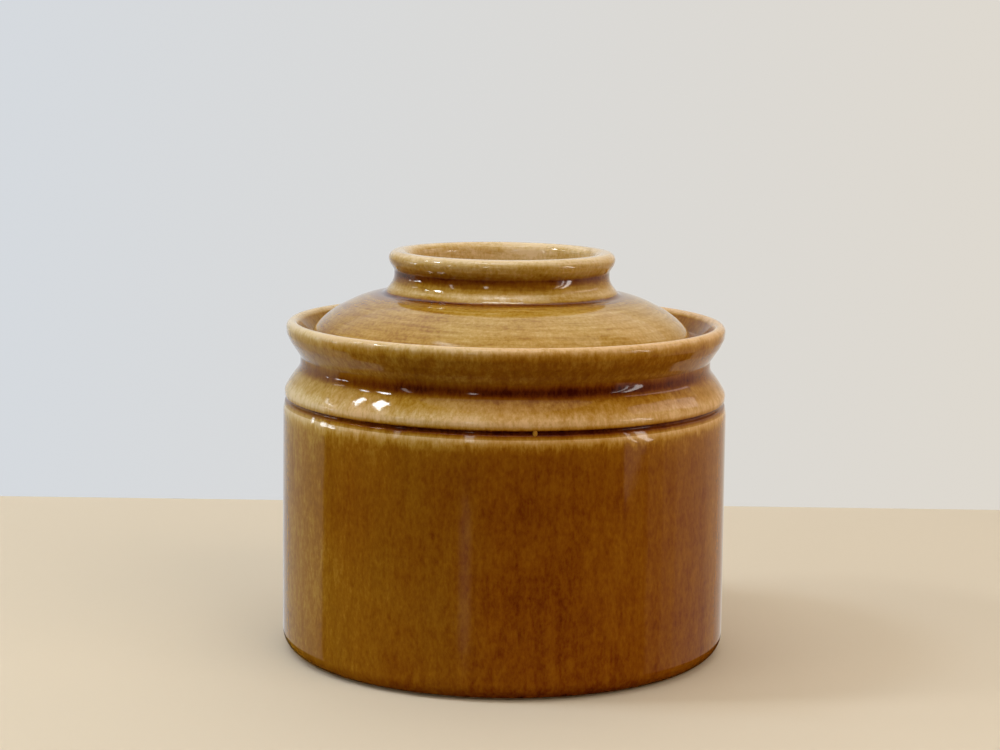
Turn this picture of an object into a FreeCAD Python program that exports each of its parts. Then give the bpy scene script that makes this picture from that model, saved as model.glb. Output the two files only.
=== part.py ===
import FreeCAD, Part
import os
import re
import Sketcher

# Lidded stoneware jar: a wheel-turned pot and the loose lid that lies in its gallery.
# Millimetres, +Z up, origin at the centre of the underside. Both pieces are turned forms:
# each section is a chain of corners, revolved about the axis and then rounded corner by corner.

sizes = {
    # pot, outside, from the foot up; an inset is taken off the body radius
    "body_radius": 70.0,
    "body_height": 79.4,
    "edge_height": 3.4,
    "edge_taper": 0.2,
    "edge_inset": 0.7,
    "line_width": 1.5,
    "line_depth": 1.3,
    "band_height": 2.9,
    "band_inset": 0.5,
    "shoulder_height": 7.0,
    "neck_inset": 5.45,
    "neck_height": 3.4,
    "flare_height": 4.7,
    "flare_inset": 2.3,
    "rim_height": 2.4,
    "rim_inset": 1.2,
    "lip_height": 3.3,
    "lip_inset": 0.9,
    "lip_crown": 1.1,
    "lip_width": 2.9,
    # pot, inside, from the lip down
    "gallery_depth": 6.2,
    "gallery_inset": 7.4,
    "ledge_width": 7.1,
    "ledge_thickness": 7.0,
    "throat_height": 12.0,
    "wall_thickness": 6.5,
    "floor_thickness": 7.0,
    # lid; its own heights start at the ledge that it lies on
    "lid_clearance": 2.7,
    "lid_shift": 1.5,
    "lid_lap": 3.0,
    "lid_thickness": 5.5,
    "lid_edge_height": 3.3,
    "lid_edge_inset": 1.0,
    "lid_haunch_drop": 0.9,
    "dome_rise": 10.9,
    "dome_bulge": 2.1,
    # ring knob on the lid
    "knob_neck_radius": 33.75,
    "knob_flare": 3.25,
    "knob_flare_height": 4.2,
    "knob_neck_height": 3.2,
    "bead_undercut_height": 2.1,
    "bead_undercut": 1.35,
    "bead_height": 3.8,
    "bead_overhang": 2.6,
    "knob_wall": 4.55,
    "knob_bore_taper": 0.6,
    # roundings
    "foot_rounding": 5.5,
    "edge_rounding": 8.0,
    "line_rounding": 0.4,
    "band_rounding": 3.2,
    "shoulder_rounding": 4.3,
    "neck_rounding": 1.0,
    "flare_rounding": 5.0,
    "rim_rounding": 2.8,
    "lip_rounding": 1.9,
    "mouth_rounding": 1.9,
    "ledge_rounding": 1.0,
    "inside_rounding": 6.0,
    "lid_edge_rounding": 5.0,
    "ring_rounding": 1.0,
    "knob_foot_rounding": 2.5,
    "knob_flare_rounding": 5.2,
    "knob_neck_rounding": 1.5,
    "bead_rounding": 2.3,
    "bore_rounding": 2.8,
}

edge_tolerance = 0.001    # mm, how near its corner an edge lies to be the one that is rounded
least_cut = 1.0           # mm3, below which a groove has cut nothing

# places that several pieces share, as expressions in the sheet's aliases
line_radius = "(body_radius - edge_inset)"
band_top = "(body_height + band_height)"
neck_base = f"({band_top} + shoulder_height)"
neck_top = f"({neck_base} + neck_height)"
flare_top = f"({neck_top} + flare_height)"
rim_top = f"({flare_top} + rim_height)"
lip_side = f"({rim_top} + lip_height)"
lip_top = f"({lip_side} + lip_crown)"
ledge_top = f"({lip_top} - gallery_depth)"
ledge_base = f"({ledge_top} - ledge_thickness)"
gallery_radius = "(body_radius - gallery_inset)"
mouth_radius = f"({gallery_radius} - ledge_width)"
inner_radius = "(body_radius - wall_thickness)"
lid_radius = f"({gallery_radius} - lid_clearance)"
lid_edge_radius = f"({lid_radius} - lid_edge_inset)"
dome_top = "(lid_edge_height + dome_rise)"
knob_foot_radius = "(knob_neck_radius + knob_flare)"
knob_bore_radius = "(knob_neck_radius - knob_wall)"
flare_end = f"({dome_top} + knob_flare_height)"
bead_base = f"({flare_end} + knob_neck_height)"
bead_side = f"({bead_base} + bead_undercut_height)"
bead_top = f"({bead_side} + bead_height)"
hollow_top = f"({dome_top} - lid_thickness)"
dome_run = f"({lid_edge_radius} - {knob_foot_radius})"
dome_curve = f"(({dome_run}^2 + dome_rise^2) / (8 * dome_bulge) + dome_bulge / 2)"

# each corner: radius, height and the alias of its rounding, if it has one
pot_outside = {
    "foot": ("body_radius", "0", "foot_rounding"),
    "wall_top": ("body_radius - edge_taper", "body_height - edge_height", "edge_rounding"),
    "line_lower": (line_radius, "body_height - line_width / 2", "line_rounding"),
    "line_root": (f"{line_radius} - line_depth", "body_height", "line_rounding"),
    "line_upper": (line_radius, "body_height + line_width / 2", "line_rounding"),
    "band": ("body_radius - band_inset", band_top, "band_rounding"),
    "shoulder": ("body_radius - neck_inset", neck_base, "shoulder_rounding"),
    "neck": ("body_radius - neck_inset", neck_top, "neck_rounding"),
    "flare": ("body_radius - flare_inset", flare_top, "flare_rounding"),
    "rim": ("body_radius - rim_inset", rim_top, "rim_rounding"),
    "lip": ("body_radius - lip_inset", lip_side, "lip_rounding"),
    "mouth": ("body_radius - lip_inset - lip_width", lip_top, "mouth_rounding"),
    "gallery": (gallery_radius, ledge_top, "ledge_rounding"),
    "axis_top": ("0", ledge_top, None),
    "axis_foot": ("0", "0", None),
}
pot_hollow = {
    "throat_top": (mouth_radius, ledge_top, "ledge_rounding"),
    "throat": (mouth_radius, ledge_base, "ledge_rounding"),
    "inner_shoulder": (inner_radius, f"{ledge_base} - throat_height", "inside_rounding"),
    "inner_foot": (inner_radius, "floor_thickness", "inside_rounding"),
    "axis_floor": ("0", "floor_thickness", None),
    "axis_throat": ("0", ledge_top, None),
}
lid_outside = {
    "seat": (lid_radius, "0", "ring_rounding"),
    "edge": (lid_edge_radius, "lid_edge_height", "lid_edge_rounding"),
    "knob_foot": (knob_foot_radius, dome_top, "knob_foot_rounding"),
    "knob_flare": ("knob_neck_radius", flare_end, "knob_flare_rounding"),
    "knob_neck": ("knob_neck_radius", bead_base, "knob_neck_rounding"),
    "bead_side": ("knob_neck_radius + bead_undercut", bead_side, "bead_rounding"),
    "bead": ("knob_neck_radius + bead_overhang", bead_top, "bead_rounding"),
    "bore": (knob_bore_radius, bead_top, "bore_rounding"),
    "bore_floor": (f"{knob_bore_radius} - knob_bore_taper", dome_top, "bore_rounding"),
    "axis_top": ("0", dome_top, None),
    "axis_seat": ("0", "0", None),
}
lid_hollow = {
    "ring": (f"{mouth_radius} - lid_lap", "0", "ring_rounding"),
    "haunch": (f"{lid_edge_radius} - lid_thickness", "lid_edge_height - lid_haunch_drop", "bore_rounding"),
    "crown": (knob_foot_radius, hollow_top, "inside_rounding"),
    "axis_hollow": ("0", hollow_top, None),
    "axis_ring": ("0", "0", None),
}


def on_sheet(expression):
    return re.sub(r"[a-z]\w*", lambda alias: "Sizes." + alias.group(), expression)


def value_of(sheet, expression):
    return float(sheet.evalExpression(on_sheet(expression)))


def make_sheet(doc):
    sheet = doc.addObject("Spreadsheet::Sheet", "Sizes")
    for row, (alias, size) in enumerate(sizes.items(), start=1):
        sheet.set(f"A{row}", str(size))
        sheet.setAlias(f"A{row}", alias)
    doc.recompute()
    return sheet


def bow(start, end, radius):
    # the shallow arc from start to end that bulges away from the axis
    chord = end - start
    outward = FreeCAD.Vector(chord.y, -chord.x, 0).normalize()
    rise = radius - (radius ** 2 - chord.Length ** 2 / 4) ** 0.5
    return Part.Arc(start, (start + end) / 2 + outward * rise, end)


def bind(sketch, index, name, expression):
    sketch.renameConstraint(index, name)
    sketch.setExpression(f"Constraints.{name}", on_sheet(expression))


def pin_corner(sketch, sheet, line, name, radius, height):
    # places a line's first point: on an axis where its distance is 0, else by a bound size
    for way, axis, expression in (("DistanceX", -2, radius), ("DistanceY", -1, height)):
        if expression == "0":
            sketch.addConstraint(Sketcher.Constraint("PointOnObject", line, 1, axis))
        else:
            size = value_of(sheet, expression)
            index = sketch.addConstraint(Sketcher.Constraint(way, -1, 1, line, 1, size))
            bind(sketch, index, name + way[-1], expression)


def make_section(body, sheet, name, corners, arcs=None):
    # a closed chain through the corners, on the body's own XZ plane; arcs: {corner: its radius}
    sketch = body.newObject("Sketcher::SketchObject", name)
    plane = next(item for item in body.Origin.OriginFeatures if item.Role == "XZ_Plane")
    sketch.AttachmentSupport = [(plane, "")]
    sketch.MapMode = "FlatFace"
    arcs = arcs or {}
    points = [FreeCAD.Vector(value_of(sheet, radius), value_of(sheet, height), 0)
              for radius, height, rounding in corners.values()]
    ends = points[1:] + points[:1]
    for corner, start, end in zip(corners, points, ends):
        if corner in arcs:
            sketch.addGeometry(bow(start, end, value_of(sheet, arcs[corner])), False)
        else:
            sketch.addGeometry(Part.LineSegment(start, end), False)
    for line, (corner, (radius, height, rounding)) in enumerate(corners.items()):
        following = (line + 1) % len(corners)
        sketch.addConstraint(Sketcher.Constraint("Coincident", line, 2, following, 1))
        pin_corner(sketch, sheet, line, corner, radius, height)
        if corner in arcs:
            curve = value_of(sheet, arcs[corner])
            index = sketch.addConstraint(Sketcher.Constraint("Radius", line, curve))
            bind(sketch, index, corner + "Bow", arcs[corner])
    return sketch


def turn(doc, body, kind, sketch, name):
    feature = body.newObject(kind, name)
    feature.Profile = sketch
    feature.ReferenceAxis = (sketch, ["V_Axis"])
    feature.Angle = 360
    doc.recompute()
    return feature


def hollow_out(doc, body, sketch, name):
    before = body.Shape.Volume
    turn(doc, body, "PartDesign::Groove", sketch, name)
    if body.Shape.Volume > before - least_cut:
        raise RuntimeError(f"{name} cuts nothing")


def edge_at(shape, radius, height):
    for number, edge in enumerate(shape.Edges, start=1):
        curve = edge.Curve
        if not isinstance(curve, Part.Circle):
            continue
        if max(abs(curve.Radius - radius), abs(curve.Center.z - height)) < edge_tolerance:
            return f"Edge{number}"
    raise RuntimeError(f"no edge at radius {radius}, height {height}")


def round_corners(doc, body, sheet, corners):
    groups = {}
    for radius, height, rounding in corners.values():
        if rounding:
            groups.setdefault(rounding, []).append((radius, height))
    for rounding, places in groups.items():
        base = body.Tip
        edges = [edge_at(base.Shape, value_of(sheet, radius), value_of(sheet, height))
                 for radius, height in places]
        fillet = body.newObject("PartDesign::Fillet", f"{body.Name}_{rounding}")
        fillet.Base = (base, edges)
        fillet.setExpression("Radius", on_sheet(rounding))
        doc.recompute()


def make_pot(doc, sheet):
    body = doc.addObject("PartDesign::Body", "pot")
    outside = make_section(body, sheet, "PotSection", pot_outside)
    turn(doc, body, "PartDesign::Revolution", outside, "PotTurned")
    hollow = make_section(body, sheet, "PotHollowSection", pot_hollow)
    hollow_out(doc, body, hollow, "PotHollow")
    round_corners(doc, body, sheet, pot_outside | pot_hollow)
    return body


def make_lid(doc, sheet):
    # the lid lies on the pot's ledge, a little off the middle
    body = doc.addObject("PartDesign::Body", "lid")
    outside = make_section(body, sheet, "LidSection", lid_outside, {"edge": dome_curve})
    turn(doc, body, "PartDesign::Revolution", outside, "LidTurned")
    hollow = make_section(body, sheet, "LidHollowSection", lid_hollow)
    hollow_out(doc, body, hollow, "LidHollow")
    round_corners(doc, body, sheet, lid_outside | lid_hollow)
    body.setExpression("Placement.Base.x", on_sheet("-lid_shift"))
    body.setExpression("Placement.Base.z", on_sheet(ledge_top))
    return body


def check(doc, bodies):
    for item in doc.Objects:
        if "Invalid" in item.State or "Error" in item.State:
            raise RuntimeError(f"{item.Name} failed: {item.State}")
    for body in bodies:
        if body.Shape.isNull() or not body.Shape.isValid() or len(body.Shape.Solids) != 1:
            raise RuntimeError(f"{body.Label} has no single valid solid")


def main():
    doc = FreeCAD.newDocument("SaltJar")
    sheet = make_sheet(doc)
    bodies = [make_pot(doc, sheet), make_lid(doc, sheet)]
    doc.recompute()
    check(doc, bodies)
    os.makedirs("parts", exist_ok=True)
    for body in bodies:
        box = body.Shape.optimalBoundingBox(False)
        print(f"{body.Label}: {body.Shape.Volume / 1000:.1f} cm3, "
              f"{box.XLength:.1f} x {box.YLength:.1f} x {box.ZLength:.1f} mm, top at {box.ZMax:.1f}")
        body.Shape.exportStep(f"parts/{body.Label}.step")


main()
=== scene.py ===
import math
import bmesh
import bpy
import numpy as np
from mathutils import Matrix, Vector


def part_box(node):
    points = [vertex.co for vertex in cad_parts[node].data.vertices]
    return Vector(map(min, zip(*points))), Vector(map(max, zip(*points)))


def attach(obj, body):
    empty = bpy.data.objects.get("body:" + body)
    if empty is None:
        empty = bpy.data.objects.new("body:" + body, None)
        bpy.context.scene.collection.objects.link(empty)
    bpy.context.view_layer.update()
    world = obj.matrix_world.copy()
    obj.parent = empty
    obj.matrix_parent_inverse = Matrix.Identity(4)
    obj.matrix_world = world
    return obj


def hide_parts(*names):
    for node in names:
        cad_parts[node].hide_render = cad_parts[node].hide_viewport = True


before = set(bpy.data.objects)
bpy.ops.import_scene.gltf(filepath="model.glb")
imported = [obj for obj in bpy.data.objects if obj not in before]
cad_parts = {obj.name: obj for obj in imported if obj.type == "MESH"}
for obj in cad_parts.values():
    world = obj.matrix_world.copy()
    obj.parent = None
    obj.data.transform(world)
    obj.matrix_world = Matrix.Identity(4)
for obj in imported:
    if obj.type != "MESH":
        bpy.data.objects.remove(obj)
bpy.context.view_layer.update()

# A glazed stoneware salt jar: the turned pot and its loose lid, on a pale table in soft window light.

potLow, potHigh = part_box("pot")
lidLow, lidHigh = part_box("lid")
bodyRadius = (potHigh.x - potLow.x) / 2
mm = bodyRadius / 70    # the sizes of the pieces are in millimetres, on a jar 140 mm across
lidMiddle = (lidLow.x + lidHigh.x) / 2


class Wire:
    # a shader socket that takes part in plain arithmetic; every other node comes from node()
    def __init__(self, tree, socket=None):
        self.tree = tree
        self.socket = socket

    def node(self, kind, settings=None, sockets=None, output=0):
        made = self.tree.nodes.new(kind)
        for name, value in (settings or {}).items():
            if name == "stops":
                self.setStops(made.color_ramp, value)
            else:
                setattr(made, name, value)
        for key, value in (sockets or {}).items():
            if isinstance(value, Wire):
                self.tree.links.new(value.socket, made.inputs[key])
            else:
                made.inputs[key].default_value = value
        return Wire(self.tree, made.outputs[output] if len(made.outputs) else None)

    def setStops(self, ramp, stops):
        while len(ramp.elements) < len(stops):
            ramp.elements.new(0.5)
        for element, (place, colour) in zip(ramp.elements, sorted(stops)):
            element.position = place
            element.color = (*colour, 1)

    def at(self, output):
        return Wire(self.tree, self.socket.node.outputs[output])

    def maths(self, operation, *values):
        return self.node("ShaderNodeMath", {"operation": operation}, dict(enumerate(values)))

    def __add__(self, other):
        return self.maths("ADD", self, other)

    def __radd__(self, other):
        return self.maths("ADD", other, self)

    def __sub__(self, other):
        return self.maths("SUBTRACT", self, other)

    def __rsub__(self, other):
        return self.maths("SUBTRACT", other, self)

    def __mul__(self, other):
        return self.maths("MULTIPLY", self, other)

    def __rmul__(self, other):
        return self.maths("MULTIPLY", other, self)

    def __truediv__(self, other):
        return self.maths("DIVIDE", self, other)

    def __rtruediv__(self, other):
        return self.maths("DIVIDE", other, self)

    def clamp(self):
        return self.maths("MINIMUM", self.maths("MAXIMUM", self, 0), 1)

    def vectorMaths(self, operation, sockets=None, output=0):
        sockets = {0: self, **(sockets or {})}
        return self.node("ShaderNodeVectorMath", {"operation": operation}, sockets, output)

    def stretched(self, x, y, z):
        return self.vectorMaths("MULTIPLY", {1: (x, y, z)})

    def noise(self, scale, detail, roughness):
        # swings about 0
        sockets = {"Vector": self, "Scale": scale, "Detail": detail, "Roughness": roughness}
        return self.node("ShaderNodeTexNoise", {}, sockets) - 0.5

    def ramp(self, stops):
        return self.node("ShaderNodeValToRGB", {"stops": stops}, {"Fac": self}, "Color")


def wayTo(side, rise):
    # side is the angle from the front, towards the right
    side = math.radians(side)
    rise = math.radians(rise)
    return Vector((math.sin(side) * math.cos(rise), -math.cos(side) * math.cos(rise), math.sin(rise)))


def newMaterial(name):
    material = bpy.data.materials.new(name)
    material.use_nodes = True
    material.node_tree.nodes.clear()
    return material, Wire(material.node_tree)


def closeMaterial(start, sockets):
    surface = start.node("ShaderNodeBsdfPrincipled", {}, sockets)
    start.node("ShaderNodeOutputMaterial", {}, {"Surface": surface})


def addPiece(name, mesh):
    piece = bpy.data.objects.new(name, mesh)
    bpy.context.scene.collection.objects.link(piece)
    return piece


def roundedCorner(before, here, after, rounding, step):
    # points on the arc that rounds the corner at here
    inward = (before - here).normalized()
    onward = (after - here).normalized()
    half = inward.angle(onward) / 2
    reach = rounding / math.tan(half)
    middle = here + (inward + onward).normalized() * rounding / math.sin(half)
    first = here + inward * reach - middle
    sweep = first.angle_signed(here + onward * reach - middle)
    # a small arc still gets three parts, and a wide one five to the radian
    count = 1 + max(3, round(abs(sweep) * rounding / step), round(abs(sweep) * 5))
    points = []
    for part in range(count + 1):
        spoke = first.copy()
        spoke.rotate(Matrix.Rotation(-sweep * part / count, 2))
        points.append(middle + spoke)
    return points


def turnedSection(piece):
    # (radius, height) points along the outside and then the inside, with the step between them
    corners = piece["outside"] + piece["inside"]
    steps = [piece["outsideStep"]] * len(piece["outside"]) + [piece["insideStep"]] * len(piece["inside"])
    places = [Vector((radius, height)) for radius, height, rounding in corners]
    path = [(places[0], steps[0])]
    for index in range(1, len(corners) - 1):
        rounding = corners[index][2]
        if rounding:
            arc = roundedCorner(*places[index - 1:index + 2], rounding, steps[index])
        else:
            arc = [places[index]]
        path += [(point, steps[index]) for point in arc]
    path.append((places[-1], steps[-1]))
    section = [path[0]]
    for (start, step), (end, following) in zip(path, path[1:]):
        count = max(1, round((end - start).length / step))
        section += [(start.lerp(end, part / count), following) for part in range(1, count + 1)]
    return section


def unevenness(angles, height, feel):
    # how far the maker's hand left the wall from a true circle; it winds slowly with the height
    oval = feel["oval"] * np.cos(2 * angles + 0.7 + height / 60)
    lobes = feel["lobes"] * (np.cos(3 * angles - 1.1 - height / 35) + np.cos(5 * angles + height / 22))
    return oval + lobes


def coatAt(piece, point, outside):
    # how thick the glaze lies there, from 0 to 1
    if not outside:
        return piece["insideGlaze"]
    bore = point.x < piece.get("boreRadius", 0)
    return np.interp(point.y, *zip(*piece["boreGlaze" if bore else "glaze"]))


def closedRings(rings, segments):
    # quads between the rings, and a fan from a pole on the first and on the last of them
    faces = []
    for ring in range(rings - 1):
        for spot in range(segments):
            following = (spot + 1) % segments
            low, high = ring * segments, (ring + 1) * segments
            faces.append((low + spot, low + following, high + following, high + spot))
    for pole, ring in ((rings * segments, 0), (rings * segments + 1, rings - 1)):
        for spot in range(segments):
            pair = (ring * segments + spot, ring * segments + (spot + 1) % segments)
            faces.append((pole, *pair) if ring else (pole, *reversed(pair)))
    return faces


def roundMesh(name, vertices, rings, segments, thickness):
    mesh = bpy.data.meshes.new(name)
    mesh.from_pydata(vertices, [], closedRings(rings, segments))
    mesh.attributes.new("thickness", "FLOAT", "POINT").data.foreach_set("value", thickness)
    shape = bmesh.new()
    shape.from_mesh(mesh)
    bmesh.ops.recalc_face_normals(shape, faces=shape.faces)
    shape.to_mesh(mesh)
    shape.free()
    mesh.shade_smooth()
    return mesh


def turnedPiece(name, piece, middle, base):
    # revolves the section about its axis; both its ends lie on the axis, so the mesh is closed
    section = turnedSection(piece)
    segments = piece["segments"]
    feel = piece["feel"]
    angles = np.arange(segments) * 2 * math.pi / segments
    outsideCount = sum(1 for point, step in section if step == piece["outsideStep"])
    vertices = []
    thickness = []
    for index, (point, step) in enumerate(section[1:-1], start=1):
        # near the axis and on the foot the form stays true
        loose = min(1, point.x / feel["firmRadius"]) * min(1, point.y / feel["firmHeight"])
        wide = point.x + unevenness(angles, point.y, feel) * loose
        tall = np.full(segments, point.y)
        vertices += list(zip(wide * np.cos(angles), wide * np.sin(angles), tall))
        thickness += [coatAt(piece, point, index < outsideCount)] * segments
    for point, step in (section[0], section[-1]):
        vertices.append((0, 0, point.y))
        thickness.append(piece["insideGlaze"])
    vertices = [(x * mm + middle, y * mm, z * mm + base) for x, y, z in vertices]
    return addPiece(name, roundMesh(name, vertices, len(section) - 2, segments, thickness))


# what the pot's and the lid's glaze share
glazing = {
    # the colour at each thickness: 0 where it runs thin off an edge, 1 where it pools
    "colours": [
        (0.00, (0.72, 0.54, 0.30)),
        (0.15, (0.60, 0.42, 0.17)),
        (0.30, (0.50, 0.31, 0.075)),
        (0.45, (0.40, 0.220, 0.024)),
        (0.60, (0.275, 0.118, 0.006)),
        (0.75, (0.208, 0.070, 0.003)),
        (0.88, (0.130, 0.030, 0.002)),
        (1.00, (0.045, 0.005, 0.001)),
    ],
    "rustColour": (1.0, 0.72, 0.5, 1),    # multiplies the glaze's own
    "rustContrast": 2.2,
    "thinContrast": 1.7,    # less the thickness: a thin coat shows the marks most
    "runBase": 0.35,
    "runLeast": 0.0008,    # metres
    "fibreRoughness": 0.04,
    "ior": 1.5,
}


def runsBelow(place, z, look):
    # thin runs that start at a line and end at uneven heights under it
    lengths = (place.stretched(1, 1, 0.02).noise(look["runScale"], 3, 0.7) + glazing["runBase"]).clamp()
    reach = lengths * lengths * (look["runLength"] * mm) + glazing["runLeast"]
    fall = (look["runTop"] * mm - z) / reach
    return (1 - fall).clamp() * fall.maths("GREATER_THAN", fall, 0)


def glazeMaterial(name, look):
    material, start = newMaterial(name)
    place = start.node("ShaderNodeTexCoord", {}, {}, "Object")
    split = start.node("ShaderNodeSeparateXYZ", {}, {0: place})
    x = split.at("X")
    z = split.at("Z")
    # the glaze ran downwards while it melted, so its marks stand upright
    fibres = place.stretched(1, 1, look["fibreStretch"]).noise(look["fibreScale"], 3, 0.7)
    streaks = place.stretched(1, 1, look["streakStretch"]).noise(look["streakScale"], 3, 0.6)
    patches = place.stretched(1, 1, 0.6).noise(look["patchScale"], 4, 0.62)
    # and the wheel left fine rings
    radius = place.stretched(1, 1, 0).vectorMaths("LENGTH", {}, "Value")
    along = start.node("ShaderNodeCombineXYZ", {}, {
        0: radius - z, 1: x * look["ringStretch"], 2: split.at("Y") * look["ringStretch"]})
    rings = along.noise(look["ringScale"], 3, 0.6)
    coat = start.node("ShaderNodeAttribute", {"attribute_name": "thickness"}, {}, "Fac")
    marks = (fibres * look["fibres"] + streaks * look["streaks"] + patches * look["patches"]
             + rings * look["rings"]) * (glazing["thinContrast"] - coat)
    # painted light and shade: the coat is made thinner, so paler, on one side and thicker, so darker, on
    # the other; the pot is painted lighter on its left and the lid darker on its left
    thickness = coat + marks + x * (look["paintedSideLight"] / bodyRadius)
    if "paintedSideSheen" in look:
        # painted sheen: the coat is made thinner, so paler, on the two sides than in front
        thickness = thickness - x * x * coat * coat * (look["paintedSideSheen"] / bodyRadius ** 2)
    if "runs" in look:
        thickness = thickness - runsBelow(place, z, look) * look["runs"]
    # iron in the glaze reddens some patches, and one side of the pot more than the other
    rust = (place.stretched(1, 1, 0.5).noise(look["rustScale"], 2, 0.5) * glazing["rustContrast"]
            + x * (look["rustLean"] / bodyRadius) + look["rustBase"]).clamp()
    colour = start.node("ShaderNodeMix", {"data_type": "RGBA", "blend_type": "MULTIPLY"}, {
        "Factor": rust * look["rust"],
        6: thickness.clamp().ramp(glazing["colours"]),
        7: glazing["rustColour"]}, 2)
    ripple = place.stretched(1, 1, 0.6).noise(look["rippleScale"], 2, 0.5)
    relief = ripple * (look["ripple"] * mm) + rings * (look["ringRipple"] * mm)
    closeMaterial(start, {
        "Base Color": colour,
        "Roughness": fibres * glazing["fibreRoughness"] + look["roughness"],
        "Specular IOR Level": look["gloss"],
        "IOR": glazing["ior"],
        "Normal": start.node("ShaderNodeBump", {}, {"Strength": 1.0, "Distance": 1.0, "Height": relief}),
    })
    return material


clay = {
    "colours": [(0.3, (0.40, 0.30, 0.20)), (0.7, (0.52, 0.41, 0.28))],
    "speckScale": 900,
    "speckHeight": 0.0002,
    "roughness": 0.85,
}


def clayMaterial():
    material, start = newMaterial("bareClay")
    speck = start.node("ShaderNodeTexCoord", {}, {}, "Object").noise(clay["speckScale"], 3, 0.7)
    relief = {"Strength": 0.6, "Distance": clay["speckHeight"], "Height": speck}
    closeMaterial(start, {
        "Base Color": (speck + 0.5).ramp(clay["colours"]),
        "Roughness": clay["roughness"],
        "Normal": start.node("ShaderNodeBump", {}, relief),
    })
    return material


pot = {
    # radius, height and rounding of each corner, from the middle of the foot up to the lip
    "outside": [
        (0, 0, 0),
        (70, 0, 5.5),
        (69.8, 76.0, 8),
        (69.3, 78.65, 0.4),
        (68.0, 79.4, 0.4),
        (69.3, 80.15, 0.4),
        (69.5, 82.3, 2.6),
        (67.2, 85.95, 30),
        (64.55, 89.3, 4.0),
        (64.55, 92.7, 1.0),
        (67.7, 97.4, 5),
        (68.8, 99.8, 2.8),
        (69.1, 103.1, 1.9),
        (66.2, 104.2, 1.9),
    ],
    # from the gallery that carries the lid down to the middle of the floor
    "inside": [
        (62.6, 98.0, 1.0),
        (55.5, 98.0, 1.0),
        (55.5, 91.0, 1.0),
        (63.5, 79.0, 6),
        (63.5, 7.0, 6),
        (0, 7.0, 0),
    ],
    "outsideStep": 0.8,
    "insideStep": 3.0,
    "segments": 384,
    "bareBelow": 0.6,
    "feel": {"oval": 0.10, "lobes": 0.05, "firmRadius": 20, "firmHeight": 6},
    # height and thickness, 0 to 1, of the outside's glaze; it thins on edges and pools in hollows
    "glaze": [
        (0, 0.90), (2.5, 0.84), (5, 0.76), (12, 0.75), (30, 0.74), (60, 0.75), (68, 0.72), (73, 0.66),
        (76.2, 0.48), (77.3, 0.36), (78.2, 0.58), (78.8, 0.98), (79.9, 0.98), (80.4, 0.50),
        (80.8, 0.18), (81.4, 0.10), (82.4, 0.10), (83.4, 0.16), (84.4, 0.25), (85.4, 0.37), (86.9, 0.43),
        (88.1, 0.58), (88.9, 0.80), (89.6, 0.98), (91, 0.98), (92, 0.82), (93.3, 0.60), (94.6, 0.60),
        (96, 0.64), (99, 0.61), (100.6, 0.55), (101.4, 0.42), (102.1, 0.24), (102.8, 0.08), (103.4, 0.02),
        (104.2, 0.0),
    ],
    "insideGlaze": 0.62,
    "look": {
        "fibreScale": 950, "fibreStretch": 0.50, "fibres": 0.44,
        "streakScale": 330, "streakStretch": 0.25, "streaks": 0.30,
        "patchScale": 42, "patches": 0.30, "paintedSideLight": 0.05, "paintedSideSheen": 0.26,
        "ringScale": 260, "ringStretch": 0.10, "rings": 0.10, "ringRipple": 0.01,
        "runTop": 77.4, "runScale": 420, "runLength": 16, "runs": 0.30,
        "rustScale": 34, "rust": 0.6, "rustLean": 1.2, "rustBase": 0.9,
        "rippleScale": 130, "ripple": 0.05, "roughness": 0.07, "gloss": 0.32,
    },
}


def makePot():
    piece = turnedPiece("glazedPot", pot, 0, potLow.z)
    piece.data.materials.append(glazeMaterial("potGlaze", pot["look"]))
    piece.data.materials.append(clayMaterial())
    for face in piece.data.polygons:
        face.material_index = int(face.center.z < pot["bareBelow"] * mm)
    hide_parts("pot")
    return piece


# a drop of glaze that bridges the incised line, with the angle from the front at which it hangs
bridge = {
    "side": 7.3,
    "radius": 68.9,
    "height": 79.35,
    "halfSizes": (0.75, 0.6, 1.15),
    "coat": 0.5,
    "columns": 24,
    "rows": 16,
}


def makeBridge(glaze):
    columns, rows = bridge["columns"], bridge["rows"]
    rises = [90 - 180 * row / rows for row in range(1, rows)]
    ways = [wayTo(360 * column / columns, rise) for rise in rises for column in range(columns)]
    ways += [wayTo(0, 90), wayTo(0, -90)]
    turn = Matrix.Rotation(math.radians(bridge["side"]), 3, "Z")
    middle = wayTo(bridge["side"], 0) * bridge["radius"]
    middle.z = bridge["height"]
    vertices = []
    for way in ways:
        spot = middle + turn @ Vector([share * half for share, half in zip(way, bridge["halfSizes"])])
        vertices.append(spot * mm + Vector((0, 0, potLow.z)))
    coats = [bridge["coat"]] * len(vertices)
    mesh = roundMesh("glazeBridge", vertices, rows - 1, columns, coats)
    mesh.materials.append(glaze)
    return addPiece("glazeBridge", mesh)


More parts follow.
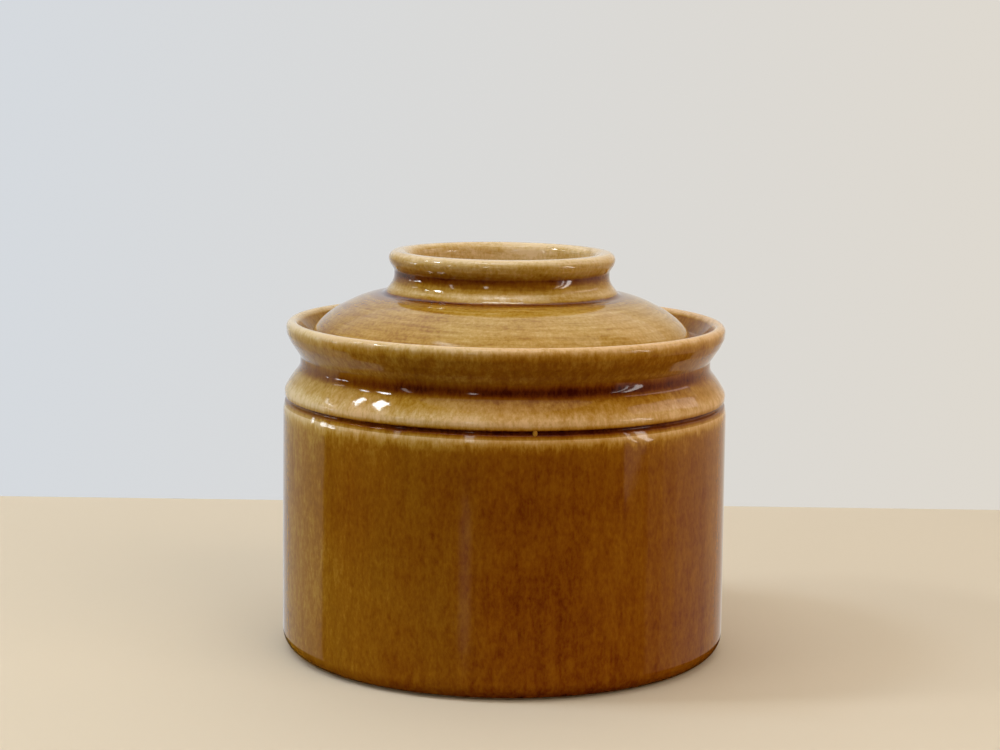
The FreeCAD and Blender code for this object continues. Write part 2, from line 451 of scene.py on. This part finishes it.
lid = {
    # heights are above the gallery that the lid lies on; from the knob's hollow out to the rim
    "outside": [
        (0, 14.2, 0),
        (28.6, 14.2, 2.8),
        (29.2, 27.6, 2.8),
        (36.35, 27.5, 2.3),
        (35.1, 23.7, 2.3),
        (33.75, 21.6, 1.5),
        (33.75, 18.4, 5.2),
        (37.0, 14.2, 2.5),
        (43.25, 13.45, 29),
        (54.5, 7.85, 29),
        (58.9, 3.3, 5.0),
        (59.9, 0, 1.0),
    ],
    "inside": [
        (52.5, 0, 1.0),
        (53.4, 2.4, 2.8),
        (37.0, 8.7, 6),
        (0, 8.7, 0),
    ],
    "outsideStep": 0.7,
    "insideStep": 3.1,
    "segments": 384,
    "feel": {"oval": 0.06, "lobes": 0.03, "firmRadius": 20, "firmHeight": 6},
    "glaze": [
        (0, 0.70), (2, 0.52), (4, 0.42), (6, 0.40), (10.5, 0.41), (12.2, 0.42), (13.4, 0.46), (14.0, 0.66),
        (14.2, 0.88), (14.7, 0.88), (15.0, 0.50), (15.8, 0.22), (16.6, 0.16), (17.6, 0.36), (18.6, 0.52),
        (20.0, 0.74), (20.7, 0.98), (21.4, 0.86), (22.2, 0.54), (23.6, 0.36), (24.8, 0.30), (25.6, 0.26),
        (26.4, 0.12), (27.0, 0.02), (27.6, 0.0),
    ],
    "insideGlaze": 0.55,
    # the same inside the ring knob
    "boreRadius": 30,
    "boreGlaze": [(14.2, 0.66), (15.5, 0.55), (17.5, 0.28), (20, 0.12), (27.6, 0.10)],
    "look": {
        "fibreScale": 900, "fibreStretch": 0.8, "fibres": 0.40,
        "streakScale": 300, "streakStretch": 0.5, "streaks": 0.16,
        "patchScale": 40, "patches": 0.20, "paintedSideLight": -0.08,
        "ringScale": 560, "ringStretch": 0.12, "rings": 0.44, "ringRipple": 0.03,
        "rustScale": 40, "rust": 0.25, "rustLean": 0, "rustBase": 0.5,
        "rippleScale": 110, "ripple": 0.03, "roughness": 0.07, "gloss": 0.55,
    },
}


def makeLid():
    piece = turnedPiece("glazedLid", lid, lidMiddle, lidLow.z)
    piece.data.materials.append(glazeMaterial("lidGlaze", lid["look"]))
    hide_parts("lid")
    return piece


def flatPiece(name, vertices, faces, material):
    mesh = bpy.data.meshes.new(name)
    mesh.from_pydata(vertices, [], faces)
    mesh.materials.append(material)
    return addPiece(name, mesh)


# the table that the jar stands on, in metres
table = {
    "front": -0.17,
    "back": 0.218,
    "halfWidth": 1.1,
    "colour": (0.665, 0.565, 0.425, 1),
    "roughness": 0.8,
    "gloss": 0.2,
}


def makeFloor():
    front, back, across = table["front"], table["back"], table["halfWidth"]
    corners = [(-across, front, 0), (across, front, 0), (across, back, 0), (-across, back, 0)]
    material, start = newMaterial("paleFloor")
    closeMaterial(start, {
        "Base Color": table["colour"],
        "Roughness": table["roughness"],
        "Specular IOR Level": table["gloss"],
    })
    floor = flatPiece("floor", corners, [(0, 1, 2, 3)], material)
    floor.visible_glossy = False


# two tall screens close a ring round the jar; the camera doesn't see them, but the glaze mirrors them
screens = {
    "distance": 2.2,
    "low": -6.0,
    "columns": 48,
    # a dark cloth round the front, between these two side angles, keeps the front of the glaze deep
    "clothFrom": -104,
    "clothTo": 128,
    "clothHigh": 3.4,
    "clothColour": (0.02, 0.02, 0.02, 1),
    # with a dark disc of it under the jar: a painted shadow, which the glaze's foot mirrors in place of the
    # shade on the floor under the jar
    "shadowDiscRadius": 0.12,
    "shadowDiscDepth": 0.02,
    # a card round the back, from the far left to the far right: the pale wall in a dimmer room
    "cardHigh": 9.0,
    "cardColours": [
        (0.0, (0.44, 0.43, 0.38)),
        (0.2, (0.46, 0.45, 0.41)),
        (0.36, (0.66, 0.70, 0.75)),
        (0.64, (0.74, 0.69, 0.61)),
        (0.8, (0.60, 0.45, 0.31)),
        (1.0, (0.58, 0.43, 0.29)),
    ],
}


def screenShape(first, last, high):
    columns = screens["columns"]
    vertices = []
    for column in range(columns + 1):
        foot = wayTo(first + (last - first) * column / columns, 0) * screens["distance"]
        vertices += [(foot.x, foot.y, screens["low"]), (foot.x, foot.y, high)]
    faces = [(2 * column, 2 * column + 2, 2 * column + 3, 2 * column + 1) for column in range(columns)]
    return vertices, faces


def makeCloth():
    vertices, faces = screenShape(screens["clothFrom"], screens["clothTo"], screens["clothHigh"])
    columns = screens["columns"]
    faces.append(tuple(range(len(vertices), len(vertices) + columns)))
    # the disc under the floor: a painted shadow for the glaze's foot to mirror
    for column in range(columns):
        edge = wayTo(360 * column / columns, 0) * screens["shadowDiscRadius"]
        vertices.append((edge.x, edge.y, -screens["shadowDiscDepth"]))
    material, start = newMaterial("darkCloth")
    matt = {"Base Color": screens["clothColour"], "Roughness": 1.0, "Specular IOR Level": 0.0}
    closeMaterial(start, matt)
    cloth = flatPiece("darkCloth", vertices, faces, material)
    cloth.visible_camera = False


def wallColour(way, stops):
    # a colour that changes with how far to the left or right a direction points
    across = way.node("ShaderNodeSeparateXYZ", {}, {0: way}, "X") * 0.5 + 0.5
    return across.ramp(stops)


def makeCard():
    vertices, faces = screenShape(screens["clothTo"], screens["clothFrom"] + 360, screens["cardHigh"])
    material, start = newMaterial("roomCard")
    way = start.node("ShaderNodeTexCoord", {}, {}, "Object").vectorMaths("NORMALIZE")
    closeMaterial(start, {
        "Base Color": (0, 0, 0, 1),
        "Roughness": 1.0,
        "Specular IOR Level": 0.0,
        "Emission Color": wallColour(way, screens["cardColours"]),
        "Emission Strength": 1.0,
    })
    card = flatPiece("roomCard", vertices, faces, material)
    card.visible_camera = False


# the pale wall, a little cooler on the left than on the right
wallColours = [(0.36, (0.66, 0.70, 0.75)), (0.64, (0.74, 0.69, 0.61))]


def makeWorld():
    world = bpy.data.worlds.new("paleWall")
    bpy.context.scene.world = world
    world.use_nodes = True
    world.node_tree.nodes.clear()
    start = Wire(world.node_tree)
    way = start.node("ShaderNodeTexCoord", {}, {}, "Generated")
    shine = start.node("ShaderNodeBackground", {}, {"Color": wallColour(way, wallColours), "Strength": 1.0})
    start.node("ShaderNodeOutputWorld", {}, {"Surface": shine})


lamping = {
    "distance": 1.4,
    "aim": 0.8,    # of the pot's height
}
# side angle (0 in front, 90 at the right), height angle, width, height, tilt, all in degrees;
# radiance and colour
windows = {
    "leftPane": (-82, 42, 6, 6, 0, 40, (0.86, 0.94, 1.0)),
    "leftSlit": (-95.5, 37, 3, 6, 0, 30, (0.86, 0.94, 1.0)),
    "highFirst": (-62, 72, 24, 3, 0, 4, (0.95, 0.98, 1.0)),
    "highSecond": (-30, 72, 24, 3, 0, 4.5, (0.95, 0.98, 1.0)),
    "highThird": (2, 72, 26, 3, 0, 6, (0.95, 0.98, 1.0)),
    "highFourth": (36, 72, 22, 3, 0, 4, (1.0, 0.98, 0.95)),
    "lowPane": (-96.5, 1, 5, 3, 0, 14, (0.9, 0.95, 1.0)),
    "lowSlit": (-102.6, 1, 4, 3, 0, 12, (0.9, 0.95, 1.0)),
    "lowEnd": (-112.7, 1, 1.5, 3, 0, 12, (0.9, 0.95, 1.0)),
    "frontStrip": (-55, 16, 3, 24, 0, 4, (1.0, 0.95, 0.9)),
    "frontPane": (-17, 14, 4, 12, 0, 6, (1.0, 0.97, 0.94)),
    "frontGleam": (-19, -14.6, 3.5, 6, 0, 0.16, (0.95, 0.95, 1.0)),
    "frontMist": (-19, -14.8, 6.5, 5, 0, 0.14, (0.95, 0.95, 1.0)),
    "rightPane": (72, 5, 5, 26, 20, 8, (1.0, 0.95, 0.9)),
    "rightSlat": (64, 5, 2, 26, 20, 6, (1.0, 0.93, 0.88)),
    "rightGhost": (67, 0, 15, 22, 10, 0.5, (1.0, 0.93, 0.9)),
    "rightVeil": (102, 5, 52, 60, 0, 0.14, (1.0, 0.86, 0.75)),
    "rightMist": (107, 5, 42, 60, 0, 0.12, (1.0, 0.86, 0.75)),
    "rightHaze": (112, 5, 32, 60, 0, 0.12, (1.0, 0.86, 0.75)),
    "rightSheen": (104, 32, 44, 6, -30, 1.5, (1.0, 0.86, 0.92)),
    "leftTail": (-109, 25, 9, 2, 0, 5, (0.9, 0.95, 1.0)),
    "rearCeiling": (178, 58, 80, 50, 0, 0.36, (1.0, 0.97, 0.92)),
}
# the same, for soft lamps that the glaze doesn't mirror
softLamps = {
    "skylight": (-88, 58, 10, 10, 0, 21, (0.62, 0.78, 1.0)),
    "leftFill": (-62, 25, 40, 40, 0, 1.4, (1.0, 0.97, 0.90)),
    "frontFill": (43, 35, 45, 40, 0, 2.35, (1.0, 0.89, 0.74)),
}


def placeLamp(name, lamp, mirrored):
    side, rise, wide, tall, tilt, radiance, colour = lamp
    way = wayTo(side, rise)
    data = bpy.data.lights.new(name, "AREA")
    data.shape = "RECTANGLE"
    data.size = 2 * lamping["distance"] * math.tan(math.radians(wide / 2))
    data.size_y = 2 * lamping["distance"] * math.tan(math.radians(tall / 2))
    data.energy = radiance * math.pi * data.size * data.size_y
    data.color = colour
    shining = bpy.data.objects.new(name, data)
    facing = (-way).to_track_quat("-Z", "Y").to_matrix().to_4x4()
    turn = facing @ Matrix.Rotation(math.radians(tilt), 4, "Z")
    aim = Vector((0, 0, potHigh.z * lamping["aim"]))
    shining.matrix_world = Matrix.Translation(aim + way * lamping["distance"]) @ turn
    shining.visible_camera = False
    shining.visible_glossy = mirrored
    bpy.context.scene.collection.objects.link(shining)


# metres and radians, and a lens in millimetres
camera = {
    "distance": 0.688,
    "height": 0.1866,
    "pitch": 0.1450,
    "roll": 0.0134,
    "yaw": 0.0024,
    "lens": 79.2,
}


def makeCamera():
    data = bpy.data.cameras.new("camera")
    data.lens = camera["lens"]
    data.sensor_width = 36
    data.clip_start = 0.01
    viewer = bpy.data.objects.new("camera", data)
    viewer.matrix_world = (Matrix.Translation((0, -camera["distance"], camera["height"]))
                           @ Matrix.Rotation(camera["yaw"], 4, "Z")
                           @ Matrix.Rotation(math.pi / 2 - camera["pitch"], 4, "X")
                           @ Matrix.Rotation(camera["roll"], 4, "Z"))
    bpy.context.scene.collection.objects.link(viewer)
    bpy.context.scene.camera = viewer


def main():
    makeCamera()
    makeFloor()
    makeCloth()
    makeCard()
    makeWorld()
    print("floor, screens and wall ready")
    for name, lamp in windows.items():
        placeLamp(name, lamp, True)
    for name, lamp in softLamps.items():
        placeLamp(name, lamp, False)
    print("lamps hung:", len(windows) + len(softLamps))
    glazedPot = makePot()
    for piece in (glazedPot, makeBridge(glazedPot.data.materials[0]), makeLid()):
        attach(piece, "root")
    print("jar turned and glazed")
    bpy.context.scene.view_settings.view_transform = "Standard"


main()
